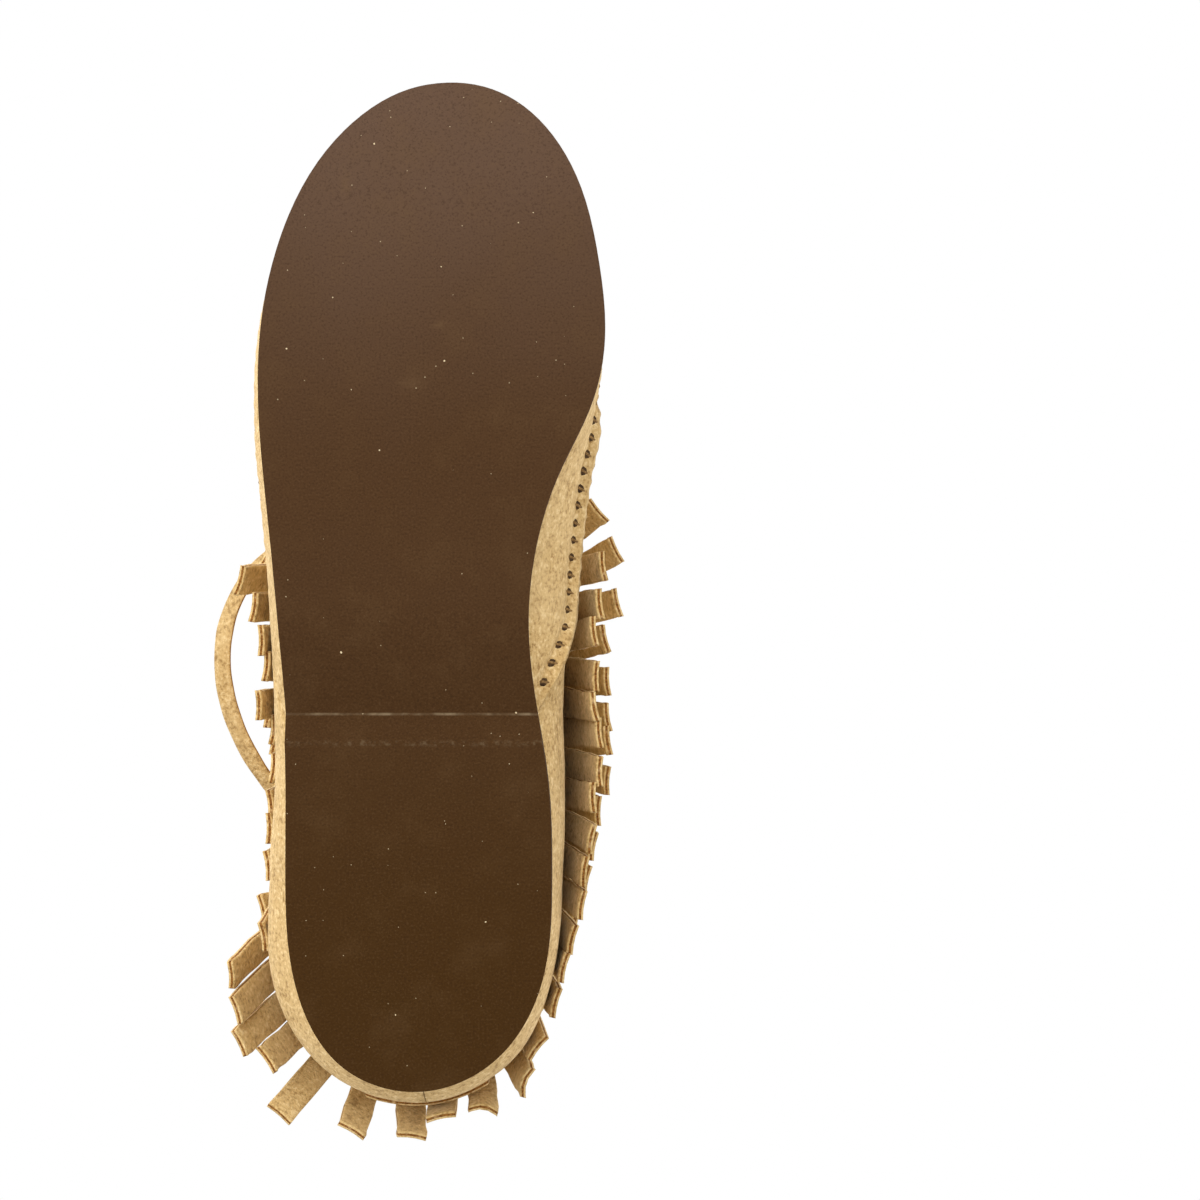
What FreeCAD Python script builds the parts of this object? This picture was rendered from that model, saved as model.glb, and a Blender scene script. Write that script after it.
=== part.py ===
"""A fringed ankle moccasin for the right foot: suede upper, thong at the collar, thin rubber sole.

Millimetres. +Z is up, the toe points to -Y and the inner (medial) side of the foot is +X.
The origin is on the ground under the middle of the sole's length.
"""
import FreeCAD
import Part
import math
import os

from FreeCAD import Placement, Rotation, Vector

SIZES = {
    # sole unit
    "sole_length": 260.0,
    "ball_width": 89.0,
    "heel_width": 68.4,
    "outsole_thick": 3.5,
    "toe_spring": 4.5,
    "spring_reach": 40.0,
    "lift_height": 6.0,
    "lift_reach": 89.5,
    "skive_reach": 7.5,
    "waist_run": 36.0,
    "board_thick": 1.6,
    "footbed_thick": 4.0,
    "inside_gap": 0.5,
    # upper
    "suede_thick": 2.0,
    "piece_gap": 0.4,
    "cement_gap": 0.15,
    "seam_height": 27.0,
    "collar_height": 108.0,
    "collar_length": 133.0,
    "collar_width": 66.0,
    "collar_back": 9.0,
    "throat_height": 58.0,
    "tongue_above": 10.0,
    "tongue_thick": 1.8,
    "counter_thick": 1.2,
    "counter_height": 56.0,
    "counter_above_bed": 1.9,
    "stay_thick": 1.5,
    "stay_foot_gap": 21.0,
    "stay_below_band": 9.0,
    # bands, casing, fringe and thong
    "band_height": 8.5,
    "band_below_collar": 0.5,
    "band_thick": 1.9,
    "lower_band_foot": 70.0,
    "casing_thick": 1.3,
    "casing_height": 9.0,
    "strip_width": 7.9,
    "strip_thick": 1.9,
    "strip_length": 44.0,
    "strip_gap": 0.7,
    "strip_root_gap": 1.6,
    "thong_width": 5.0,
    "thong_thick": 1.8,
    "knot_width": 12.0,
    "knot_depth": 6.5,
    "knot_height": 8.0,
    # stitching
    "stitch_pitch": 4.6,
    "stitch_reach": 4.4,
    "stitch_width": 1.3,
    "stitch_thick": 1.2,
    "thread_thick": 0.7,
    "thread_reach": 2.6,
    "thread_pitch": 4.2,
}

# The sole's pattern, drawn for a sole 260 long, 89 wide at the ball and 68.4 at the heel.
# It runs from the toe along the inner side to the heel and back along the outer side:
# (across, along, how far the upper bulges past the sole, turn about the collar in degrees).
PATTERN_LENGTH = 260.0
PATTERN_BALL = 89.0
PATTERN_HEEL = 68.4
STATIONS = [
    (5.0, -130.0, 0.5, 0),
    (25.0, -123.5, 0.3, 8),
    (38.5, -105.0, 0.0, 17),
    (44.2, -83.0, -0.3, 26),
    (45.6, -62.0, -0.2, 35),
    (42.0, -46.0, 1.5, 44),
    (34.0, -29.0, 6.0, 53),
    (28.0, -10.0, 9.5, 63),
    (26.0, 9.0, 10.0, 74),
    (27.8, 30.0, 7.0, 88),
    (31.0, 50.0, 4.0, 103),
    (32.0, 76.0, 2.5, 121),
    (29.5, 102.0, 3.0, 140),
    (18.0, 121.5, 5.5, 160),
    (-2.0, 130.0, 7.5, 180),
    (-22.0, 123.5, 8.5, 200),
    (-33.5, 104.0, 9.0, 220),
    (-36.4, 76.0, 7.0, 240),
    (-36.4, 48.0, 6.0, 258),
    (-37.8, 18.0, 5.0, 276),
    (-40.4, -12.0, 4.6, 292),
    (-43.2, -42.0, 4.4, 307),
    (-42.6, -68.0, 3.6, 319),
    (-36.8, -92.0, 2.5, 329),
    (-26.0, -112.0, 1.5, 339),
    (-11.0, -125.5, 0.8, 350),
]
COUNT = len(STATIONS)
HEEL = 14.0
SEAT_INSET = 1.0
CLOSE_LOW = 1.5
COLLAR_ACROSS = -3.0

# Places round the upper, in stations; the outer side counts back from COUNT.
THROAT_INNER = 2.0
THROAT_OUTER = 24.0
SIDE_INNER = 8.3
SIDE_OUTER = 19.0
SMOOTH_FROM = 10.0
WALL_INNER = 9.5
WALL_OUTER = 18.2
CASING_INNER = 9.2
CASING_OUTER = 17.6

# Where the knot lies past touching the collar's front, and below the thong's line.
KNOT_STANDS_OFF = 0.55
KNOT_SAGS = 2.25

# The thong's free stretches, chosen by hand: (x, y, z).
THONG_LOOP = [
    (-9.0, -18.5, 101.0),
    (-24.0, -20.5, 98.5),
    (-41.5, -16.5, 94.0),
    (-56.0, -6.0, 90.0),
    (-63.5, 8.0, 87.5),
    (-65.0, 22.5, 86.5),
    (-62.5, 36.5, 87.5),
    (-57.0, 49.5, 91.0),
    (-50.5, 59.5, 96.0),
    (-43.6, 67.5, 100.5),
    (-39.3, 76.2, 103.2),
]
THONG_TAILS = {
    "thong_tail_outer": [
        (-7.0, -22.0, 97.0),
        (-10.5, -29.0, 90.5),
        (-17.0, -37.0, 83.0),
        (-26.0, -45.5, 73.5),
        (-35.0, -52.0, 61.5),
        (-42.5, -57.0, 49.0),
    ],
    "thong_tail_inner": [
        (1.0, -22.0, 97.0),
        (4.5, -30.0, 91.0),
        (8.0, -41.0, 82.0),
        (14.5, -53.0, 73.0),
        (24.5, -64.0, 63.5),
        (35.0, -72.5, 51.5),
    ],
}

doc = FreeCAD.newDocument("moccasin")
sheet = doc.addObject("Spreadsheet::Sheet", "Sizes")
for line, (alias, value) in enumerate(SIZES.items(), start=1):
    sheet.set(f"A{line}", alias)
    sheet.set(f"B{line}", str(value))
    sheet.setAlias(f"B{line}", alias)
doc.recompute()
nodes = []


def size(alias):
    return float(sheet.get(alias))


def keep(obj, label):
    """Name an object as one of the shoe's pieces."""
    obj.Label = label
    nodes.append(obj)
    return obj


def feature(label, shape):
    """A piece whose shape is worked out here from the sheet's sizes."""
    obj = doc.addObject("Part::Feature", label)
    obj.Shape = shape
    obj.Placement = Placement()
    return keep(obj, label)


# ---------------------------------------------------------------- the form of the upper

def graded(index):
    """One pattern station at this shoe's size."""
    across, along, bulge, turn = STATIONS[int(index) % COUNT]
    share = min(max((along + 20.0) / 60.0, 0.0), 1.0)
    ball = size("ball_width") / PATTERN_BALL
    heel = size("heel_width") / PATTERN_HEEL
    wide = ball + (heel - ball) * share
    lap = int(index) // COUNT
    return (across * wide, along * size("sole_length") / PATTERN_LENGTH, bulge, turn + 360.0 * lap)


GRADED = [graded(index) for index in range(-2, COUNT + 3)]


def station(place):
    """The pattern between stations: across, along, bulge and turn on smooth curves."""
    place = place % COUNT
    first = int(math.floor(place))
    share = place - first
    rows = GRADED[first + 1:first + 5]
    values = []
    for a, b, c, d in zip(*rows):
        linear = (c - a) * share
        square = (2 * a - 5 * b + 4 * c - d) * share ** 2
        cube = (3 * b - a - 3 * c + d) * share ** 3
        values.append(b + (linear + square + cube) / 2)
    return values


def sole_normal(place):
    """Outward direction of the sole's edge, in plan."""
    x0, y0 = station(place - 0.05)[:2]
    x1, y1 = station(place + 0.05)[:2]
    return Vector(y1 - y0, x0 - x1, 0).normalize()


def seat(along):
    """Height of the outsole's upper face."""
    return ground(along) + size("outsole_thick")


def ground(along):
    """Height of the outsole's lower face above the ground."""
    half = size("sole_length") / 2
    front = -half + size("spring_reach")
    back = half - size("lift_reach")
    rise = back - size("waist_run")
    if along < front:
        return size("toe_spring") * ((front - along) / size("spring_reach")) ** 2
    if along > back:
        return size("lift_height")
    if along > rise:
        share = (along - rise) / size("waist_run")
        return size("lift_height") * share * share * (3 - 2 * share)
    return 0.0


def collar(turn):
    """The collar's outer line in plan: blunt in front, round at the heel."""
    angle = math.radians(turn)
    long = size("collar_length") / 2
    middle = size("sole_length") / 2 - size("collar_back") - long
    power = 0.78 if math.cos(angle) > 0 else 1.0
    reach = math.copysign(abs(math.sin(angle)) ** power, math.sin(angle))
    return Vector(COLLAR_ACROSS + size("collar_width") / 2 * reach, middle - long * math.cos(angle), 0)


def from_toe(place):
    """How far round from the toe a place is, the outer side drawn out to match the inner."""
    place = place % COUNT
    return place if place < HEEL else (COUNT - place) * SIDE_INNER / (COUNT - SIDE_OUTER)


def form(place, height):
    """A point on the outside of the upper."""
    across, along, bulge, turn = station(place)
    seam = size("seam_height")
    low = seat(along)
    normal = sole_normal(place)
    lift = min(max((height - low) / (seam - low), 0.0), 1.0)
    spread = -SEAT_INSET + (bulge + SEAT_INSET) * math.sin(lift * math.pi / 2)
    foot = Vector(across, along, 0) + normal * spread
    up = min(max((height - seam) / (size("collar_height") - seam), 0.0), 1.0)
    front = min(max((SMOOTH_FROM - from_toe(place)) / 2.0, 0.0), 1.0)
    share = front * (1 - (1 - up) ** 2) + (1 - front) * math.sin(up * math.pi / 2) ** 2
    point = foot * (1 - share) + collar(turn) * share
    return Vector(point.x, point.y, height)


def skin(place, height, depth):
    """A point at a depth outside (+) or inside (-) the upper's outer face."""
    step = 0.4 if height >= size("seam_height") else -0.4
    here = form(place, height)
    along = form(place + 0.04, height) - form(place - 0.04, height)
    upward = (form(place, height + step) - here) * math.copysign(1, step)
    normal = along.cross(upward).normalize()
    return here + normal * depth


def outline(inset):
    """The sole's outline as one closed curve, drawn in by an inset."""
    points = []
    for index in range(COUNT):
        across, along = station(index)[:2]
        points.append(Vector(across, along, 0) - sole_normal(index) * inset)
    curve = Part.BSplineCurve()
    curve.interpolate(points, PeriodicFlag=True)
    return curve


# ---------------------------------------------------------------- how the pieces are made

def panel(places, low, high, outside, inside, rows=10):
    """A sheet of suede on the form: from low to high round the places, between two depths."""
    grids = []
    for depth in (outside, inside):
        grid = []
        for place in places:
            foot, top = low(place), high(place)
            heights = [foot + (top - foot) * (row / rows) ** CLOSE_LOW for row in range(rows + 1)]
            grid.append([skin(place, height, depth) for height in heights])
        grids.append(grid)
    faces = []
    borders = []
    for grid in grids:
        surface = Part.BSplineSurface()
        surface.interpolate(grid)
        u0, u1, v0, v1 = surface.bounds()
        faces.append(surface.toShape())
        borders.append([surface.uIso(u0), surface.uIso(u1), surface.vIso(v0), surface.vIso(v1)])
    for outer_edge, inner_edge in zip(*borders):
        faces.append(Part.makeRuledSurface(outer_edge.toShape(), inner_edge.toShape()))
    shell = Part.makeShell(faces)
    shell.sewShape()
    solid = Part.makeSolid(shell)
    if solid.Volume < 0:
        solid.reverse()
    return solid


def spread(start, end, step=0.3):
    """Evenly spaced places from start to end."""
    count = max(int(round(abs(end - start) / step)), 3)
    return [start + (end - start) * index / count for index in range(count + 1)]


def level(value):
    return lambda place: value


def plate(label, inset, low, high):
    """A layer of the sole unit: the outline seen from above, common with the profile seen from the side."""
    plan = doc.addObject("Sketcher::SketchObject", label + "_plan")
    plan.addGeometry(outline(inset))
    block = doc.addObject("Part::Extrusion", label + "_block")
    block.Base = plan
    block.DirMode = "Normal"
    block.Solid = True
    block.setExpression("LengthFwd", "Sizes.collar_height")
    half = size("sole_length") / 2 + 2
    ends = spread(-half, half, half / 16)
    lower = Part.BSplineCurve()
    lower.interpolate([Vector(along, low(along), 0) for along in ends])
    upper = Part.BSplineCurve()
    upper.interpolate([Vector(along, high(along), 0) for along in ends])
    side = doc.addObject("Sketcher::SketchObject", label + "_side")
    side.Placement = Placement(Vector(), Rotation(Vector(1, 1, 1), 120))
    side.addGeometry(lower)
    side.addGeometry(upper)
    for along in (-half, half):
        side.addGeometry(Part.LineSegment(Vector(along, low(along), 0), Vector(along, high(along), 0)))
    slab = doc.addObject("Part::Extrusion", label + "_slab")
    slab.Base = side
    slab.DirMode = "Normal"
    slab.Solid = True
    slab.Symmetric = True
    slab.setExpression("LengthFwd", "Sizes.ball_width * 2")
    layer = doc.addObject("Part::Common", label)
    layer.Base = block
    layer.Tool = slab
    return keep(layer, label)


def tube(points, across):
    """A cord's tube: straight runs joined by tangent arcs, with its radii printed."""
    points = [Vector(*point) for point in points]
    edges = []
    radii = []
    start = points[0]
    for before, corner, after in zip(points, points[1:], points[2:]):
        back = before - corner
        ahead = after - corner
        reach = 0.45 * min(back.Length, ahead.Length)
        into = corner + back.normalize() * reach
        out = corner + ahead.normalize() * reach
        half_turn = (math.pi - back.getAngle(ahead)) / 2
        radius = reach / math.tan(half_turn)
        centre_line = (back + ahead).normalize()
        centre = corner + centre_line * (radius / math.cos(half_turn))
        middle = centre - centre_line * radius
        edges.append(Part.LineSegment(start, into).toShape())
        edges.append(Part.Arc(into, middle, out).toShape())
        radii.append(round(radius, 1))
        start = out
    edges.append(Part.LineSegment(start, points[-1]).toShape())
    path = Part.Wire(edges)
    circle = Part.Circle(points[0], points[1] - points[0], across / 2)
    solid = path.makePipeShell([Part.Wire([circle.toShape()])], True, False)
    expected = math.pi * across * across / 4 * path.Length
    print("tube length", round(path.Length, 1), "radii", radii)
    print("volume share", round(solid.Volume / expected, 4))
    return solid


def rod(middle, along, outward, length, width, thick):
    """A small block centred on a point, long one way and thin outward."""
    block = Part.makeBox(length, width, thick, Vector(-length / 2, -width / 2, -thick / 2))
    across = outward.cross(along).normalize()
    turn = Rotation(along, across, outward, "XYZ")
    block.Placement = Placement(middle, turn)
    return block


# ---------------------------------------------------------------- the sole unit

def board_low(along):
    return seat(along)


def board_high(along):
    return seat(along) + size("board_thick")


def footbed_low(along):
    return board_high(along) + size("piece_gap") / 3


def footbed_high(along):
    return footbed_low(along) + size("footbed_thick")


board_inset = SEAT_INSET + size("suede_thick") + size("inside_gap") * 2
outsole = plate("outsole", 0.0, ground, seat)
plate("insole_board", board_inset, board_low, board_high)
plate("footbed", board_inset + size("inside_gap") * 2, footbed_low, footbed_high)

lift_plan = doc.addObject("Sketcher::SketchObject", "lift_plan")
lift_plan.addGeometry(outline(0.0))
lift_block = doc.addObject("Part::Extrusion", "lift_block")
lift_block.Base = lift_plan
lift_block.DirMode = "Normal"
lift_block.Solid = True
lift_block.setExpression("LengthFwd", "Sizes.lift_height")
lift_side = doc.addObject("Sketcher::SketchObject", "lift_side")
lift_side.Placement = Placement(Vector(), Rotation(Vector(1, 1, 1), 120))
ridge = size("sole_length") / 2 - size("lift_reach")
feather = ridge - size("skive_reach")
back = size("sole_length") / 2 + 2
corners = [
    Vector(ridge, 0, 0),
    Vector(back, 0, 0),
    Vector(back, size("lift_height"), 0),
    Vector(ridge, size("lift_height"), 0),
    Vector(feather, ground(feather), 0),
]
for start, end in zip(corners, corners[1:] + corners[:1]):
    lift_side.addGeometry(Part.LineSegment(start, end))
lift_slab = doc.addObject("Part::Extrusion", "lift_slab")
lift_slab.Base = lift_side
lift_slab.DirMode = "Normal"
lift_slab.Solid = True
lift_slab.Symmetric = True
lift_slab.setExpression("LengthFwd", "Sizes.ball_width * 2")
lift_wedge = doc.addObject("Part::Common", "lift_wedge")
lift_wedge.Base = lift_block
lift_wedge.Tool = lift_slab
heel_lift = doc.addObject("Part::Cut", "heel_lift")
heel_lift.Base = lift_wedge
heel_lift.Tool = outsole
keep(heel_lift, "heel_lift")

# ---------------------------------------------------------------- the upper

SUEDE = size("suede_thick")
GAP = size("piece_gap")
SEAM = size("seam_height")
COLLAR = size("collar_height")


def joint_line(place):
    """Height of the join between the quarters above and the plug and wall below."""
    throat = size("throat_height")
    knots = [throat - 1, throat, throat - 1.5, throat - 7, throat - 14, throat - 21, SEAM + 3, 12, -8, -30]
    share = min(from_toe(place) / 1.5, 6.99)
    first = int(share)
    share -= first
    a, b, c, d = knots[first:first + 4]
    linear = (c - a) * share
    square = (2 * a - 5 * b + 4 * c - d) * share ** 2
    cube = (3 * b - a - 3 * c + d) * share ** 3
    return b + (linear + square + cube) / 2


def seat_at(place):
    return seat(station(place)[1]) + size("cement_gap")


def wall_top(place):
    return min(SEAM - SUEDE - GAP, joint_line(place) - GAP)


def quarter_foot(place):
    return max(joint_line(place) + GAP, seat_at(place))


def plug_top(place):
    return joint_line(place) - GAP


feature("vamp_wall", panel(spread(WALL_OUTER - COUNT, WALL_INNER - 0.3), seat_at, wall_top, 0.0, -SUEDE))
plug_places = spread(SIDE_OUTER + 0.7 - COUNT, SIDE_INNER - 0.8)
feature("plug", panel(plug_places, level(SEAM), plug_top, 0.0, -SUEDE, 12))
half_gap = 0.01
feature(
    "quarter_inner",
    panel(spread(THROAT_INNER, HEEL - half_gap), quarter_foot, level(COLLAR), 0.0, -SUEDE, 18),
)
feature(
    "quarter_outer",
    panel(spread(HEEL + half_gap, THROAT_OUTER), quarter_foot, level(COLLAR), 0.0, -SUEDE, 18),
)
tongue_depth = -SUEDE - GAP * 1.5
feature(
    "tongue",
    panel(
        spread(-2.8, 2.8),
        level(size("throat_height") - 1.0),
        level(COLLAR + size("tongue_above")),
        tongue_depth,
        tongue_depth - size("tongue_thick"),
    ),
)
counter_depth = -SUEDE - GAP


def counter_foot(place):
    return seat_at(place) + size("board_thick") + size("footbed_thick") + size("counter_above_bed")


feature(
    "heel_counter",
    panel(
        spread(HEEL - 3.6, HEEL + 3.6),
        counter_foot,
        level(size("counter_height")),
        counter_depth,
        counter_depth - size("counter_thick"),
    ),
)
STAY_REACH = 0.62
stay_depth = GAP
stay_top = size("lower_band_foot") - size("stay_below_band")


def stay_foot(place):
    return seat_at(place) + size("stay_foot_gap")


feature(
    "back_stay",
    panel(
        spread(HEEL - STAY_REACH, HEEL + STAY_REACH),
        stay_foot,
        level(stay_top),
        stay_depth + size("stay_thick"),
        stay_depth,
        16,
    ),
)

# ---------------------------------------------------------------- collar bands, casing and thong

BAND_IN = GAP
BAND_OUT = BAND_IN + size("band_thick")
BAND_ENDS = {"lower": (5.2, 21.4), "upper": (THROAT_INNER + 0.25, THROAT_OUTER - 0.25)}
upper_band_foot = COLLAR - size("band_height") - size("band_below_collar")
lower_band_foot = size("lower_band_foot")
LAYERS = {"lower": lower_band_foot, "upper": upper_band_foot}
for layer, foot in LAYERS.items():
    band_top = level(foot + size("band_height"))
    band = panel(spread(*BAND_ENDS[layer]), level(foot), band_top, BAND_OUT, BAND_IN, 4)
    feature("fringe_band_" + layer, band)

thong_in = BAND_OUT + GAP
thong_out = thong_in + size("thong_thick")
thong_middle = upper_band_foot + size("band_height") / 2
thong_low = thong_middle - size("thong_width") / 2
thong_high = thong_middle + size("thong_width") / 2
casing_low = level(thong_middle - size("casing_height") / 2)
casing_high = level(thong_middle + size("casing_height") / 2)
casing_block = panel(
    spread(CASING_INNER, CASING_OUTER),
    casing_low,
    casing_high,
    thong_out + GAP + size("casing_thick"),
    BAND_OUT + GAP / 3,
    4,
)
tunnel = panel(
    spread(CASING_INNER - 0.3, CASING_OUTER + 0.3),
    level(thong_low - GAP),
    level(thong_high + GAP),
    thong_out + GAP,
    BAND_IN,
    4,
)
feature("collar_casing", casing_block.cut(tunnel))
feature(
    "thong_heel_run",
    panel(spread(CASING_INNER, CASING_OUTER), level(thong_low), level(thong_high), thong_out, thong_in, 4),
)
feature(
    "thong_inner_run",
    panel(spread(1.2, CASING_INNER - 0.02), level(thong_low), level(thong_high), thong_out, thong_in, 4),
)
print("outer mouth of the casing", skin(CASING_OUTER, thong_middle, BAND_OUT + size("thong_width") / 2))

knot = doc.addObject("Part::Ellipsoid", "thong_knot")
knot.setExpression("Radius1", "Sizes.knot_height / 2")
knot.setExpression("Radius2", "Sizes.knot_width / 2")
knot.setExpression("Radius3", "Sizes.knot_depth / 2")
collar_front = collar(0).y
knot_clear = BAND_OUT + GAP + size("knot_depth") / 2 + KNOT_STANDS_OFF
knot_middle = Vector(COLLAR_ACROSS, collar_front - knot_clear, thong_middle - KNOT_SAGS)
knot.Placement = Placement(knot_middle, Rotation())
keep(knot, "thong_knot")
feature("thong_loop", tube(THONG_LOOP, size("thong_width")))
for label, points in THONG_TAILS.items():
    feature(label, tube(points, size("thong_width")))

# ---------------------------------------------------------------- the fringe

# How far each layer stands off the upper, in degrees from hanging straight: (place, lower, upper).
# Where a strip would touch what is behind it, clear_lean gives it more.
FLARE = [
    (2.0, 24.0, 44.0),
    (5.0, 22.0, 40.0),
    (6.5, 18.0, 26.0),
    (8.0, 15.0, 20.0),
    (11.3, 11.0, 12.0),
    (11.8, 4.0, 8.0),
    (12.2, 12.0, 8.0),
    (12.6, 13.0, 8.0),
    (13.0, 18.0, 8.0),
    (13.4, 10.0, 8.0),
    (13.9, 6.0, 8.0),
    (14.3, 17.0, 10.0),
    (14.7, 22.0, 14.0),
    (15.1, 35.0, 24.0),
    (15.5, 27.0, 28.0),
    (15.9, 33.0, 26.0),
    (16.3, 30.0, 22.0),
    (16.6, 28.0, 18.0),
    (17.0, 12.0, 10.0),
    (17.3, 4.0, 8.0),
    (19.3, 4.0, 8.0),
    (20.1, 14.0, 20.0),
    (20.7, 20.0, 26.0),
    (24.0, 28.0, 36.0),
]


def flare(place, column):
    for before, after in zip(FLARE, FLARE[1:]):
        if place <= after[0]:
            share = (place - before[0]) / (after[0] - before[0])
            return before[column] + (after[column] - before[column]) * share
    return FLARE[-1][column]


def sway(number, phase):
    """A small uneven amount from -1 to 1 for a strip's number."""
    return math.sin(number * 2.39 + phase) * 0.6 + math.sin(number * 5.13 + phase * 2) * 0.4


def paced(start, end, height, depth, pitch):
    """Places a pitch apart along the form at one height."""
    found = []
    place = start
    travelled = pitch
    here = skin(place, height, depth)
    while place < end:
        there = skin(place, height, depth)
        travelled += there.distanceToPoint(here)
        here = there
        if travelled >= pitch:
            travelled -= pitch
            found.append(place)
        place += 0.01
    return found


def hang(place):
    """The lean of the lower strips about a place, as a slope."""
    return max([math.tan(lean) for near, lean in lower_leans if abs(near - place) < 0.5], default=0.0)


def clear_lean(place, root, outward, over_lower):
    """The least lean that keeps a strip off the upper, the stay and the layer of fringe below."""
    sideways = Vector(-outward.y, outward.x, 0)
    half_width = size("strip_width") / 2 + GAP
    clearance = size("strip_thick") / 2 + GAP * 2
    lean = 0.1
    for share in (0.15, 0.3, 0.5, 0.75, 1.0):
        drop = size("strip_length") * share
        height = root.z - drop * math.cos(lean)
        for nudge in range(-25, 26):
            below = form(place + nudge * 0.1, height) - root
            if abs(below.dot(sideways)) > half_width:
                continue
            reach = below.dot(outward) + clearance
            if abs(place + nudge * 0.1 - HEEL) < STAY_REACH + 0.15 and height < stay_top + GAP:
                reach += stay_depth + size("stay_thick") + size("thread_thick")
            if over_lower and height < lower_band_foot + size("band_height"):
                band = skin(place + nudge * 0.1, max(height, lower_band_foot), BAND_OUT) - root
                fallen = max(lower_band_foot - height, 0.0) * hang(place + nudge * 0.1)
                reach = max(reach, band.dot(outward) + clearance + fallen)
            lean = max(lean, math.asin(min(reach / drop, 0.95)))
    return lean



def zone(place, root):
    """Which group of strips a place belongs to."""
    if place < HEEL and root.y < INNER_FRONT:
        return "inner_front"
    if place < HEEL and root.y < SIDE_BACK:
        return "inner_side"
    if place > HEEL and root.y < SIDE_BACK:
        return "outer_side"
    return "heel"


INNER_FRONT = 31.0
SIDE_BACK = 81.0
strip_pitch = size("strip_width") + size("strip_gap")
lower_leans = []
for column, (layer, foot) in enumerate(LAYERS.items(), start=1):
    groups = {}
    first, last = BAND_ENDS[layer]
    for number, place in enumerate(paced(first + 0.15, last - 0.15, foot, BAND_OUT, strip_pitch)):
        root = skin(place, foot - size("strip_root_gap"), BAND_OUT - size("strip_thick") / 2)
        ahead = skin(place + 0.05, foot, 0) - skin(place - 0.05, foot, 0)
        ahead = Vector(ahead.x, ahead.y, 0).normalize()
        group = zone(place, root)
        outward = Vector(ahead.y, -ahead.x, 0)
        lean = math.radians(flare(place, column) + 2.0 * sway(number, column))
        lean = max(lean, clear_lean(place, root, outward, layer == "upper"))
        if layer == "lower":
            lower_leans.append((place, lean))
        down = outward * math.sin(lean) + Vector(0, 0, -math.cos(lean))
        face = outward * math.cos(lean) + Vector(0, 0, math.sin(lean))
        length = size("strip_length") * (1 + 0.04 * sway(number, column + 3))
        strip = rod(root + down * (length / 2), down, face, length, size("strip_width"), size("strip_thick"))
        groups.setdefault(group, []).append(strip)
    for group, strips in groups.items():
        feature(f"fringe_{layer}_{group}", Part.makeCompound(strips))
        print(layer, group, len(strips), "strips")

# ---------------------------------------------------------------- stitching

stitches = []
stitch_height = SEAM - SUEDE - GAP - size("stitch_reach") / 2
for place in paced(SIDE_OUTER + 0.3 - COUNT, SIDE_INNER - 0.4, stitch_height, 0, size("stitch_pitch")):
    middle = skin(place, stitch_height, size("stitch_thick") / 2 + GAP / 3)
    upward = (skin(place, stitch_height + 1, 0) - skin(place, stitch_height, 0)).normalize()
    outward = (skin(place, stitch_height, 1) - skin(place, stitch_height, 0)).normalize()
    stitch = rod(middle, upward, outward, size("stitch_reach"), size("stitch_width"), size("stitch_thick"))
    stitches.append(stitch)
feature("whip_stitches", Part.makeCompound(stitches))

threads = []
THREAD_PLACE = 0.5
thread_depth = stay_depth + size("stay_thick") + size("thread_thick") / 2
for side in (-1, 1):
    row_height = stay_foot(HEEL) + size("thread_pitch") * 0.7
    while row_height < stay_top - size("thread_pitch") * 0.7:
        place = HEEL + side * THREAD_PLACE
        middle = skin(place, row_height, thread_depth)
        upward = (skin(place, row_height + 1, thread_depth) - middle).normalize()
        outward = (skin(place, row_height, thread_depth + 1) - middle).normalize()
        thread = rod(middle, upward, outward, size("thread_reach"), size("thread_thick"), size("thread_thick"))
        threads.append(thread)
        row_height += size("thread_pitch")
feature("stay_threads", Part.makeCompound(threads))

# ---------------------------------------------------------------- check and write

doc.recompute()
for obj in doc.Objects:
    if "Invalid" in obj.State or "Error" in obj.State:
        raise SystemExit(f"{obj.Label} failed: {obj.State}")
os.makedirs("parts", exist_ok=True)
for obj in nodes:
    if obj.Shape.isNull() or not obj.Shape.isValid() or obj.Shape.Volume <= 0:
        raise SystemExit(f"{obj.Label} has no valid solid")
    obj.Shape.exportStep(f"parts/{obj.Label}.step")
    box = obj.Shape.BoundBox
    print(f"{obj.Label:24} {obj.Shape.Volume:10.0f} mm3  x {box.XMin:7.1f} {box.XMax:7.1f}",
          f"y {box.YMin:7.1f} {box.YMax:7.1f}  z {box.ZMin:7.1f} {box.ZMax:7.1f}")
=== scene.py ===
import math
import bmesh
import bpy
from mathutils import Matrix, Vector, noise


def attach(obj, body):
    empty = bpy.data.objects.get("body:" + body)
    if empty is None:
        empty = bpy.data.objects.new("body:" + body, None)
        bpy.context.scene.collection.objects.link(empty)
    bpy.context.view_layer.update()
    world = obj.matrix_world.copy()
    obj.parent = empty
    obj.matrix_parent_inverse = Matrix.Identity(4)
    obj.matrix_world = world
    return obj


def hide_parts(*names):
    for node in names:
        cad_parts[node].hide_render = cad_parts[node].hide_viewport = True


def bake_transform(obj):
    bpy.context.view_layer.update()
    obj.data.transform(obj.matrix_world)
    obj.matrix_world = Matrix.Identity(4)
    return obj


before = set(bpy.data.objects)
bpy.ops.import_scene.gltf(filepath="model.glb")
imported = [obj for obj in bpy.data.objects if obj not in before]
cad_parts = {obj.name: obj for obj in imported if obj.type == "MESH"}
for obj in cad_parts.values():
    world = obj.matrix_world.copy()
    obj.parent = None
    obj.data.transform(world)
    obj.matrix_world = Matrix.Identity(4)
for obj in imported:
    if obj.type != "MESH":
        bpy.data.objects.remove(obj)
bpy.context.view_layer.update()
print("frame loaded")
mm = 0.001
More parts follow.
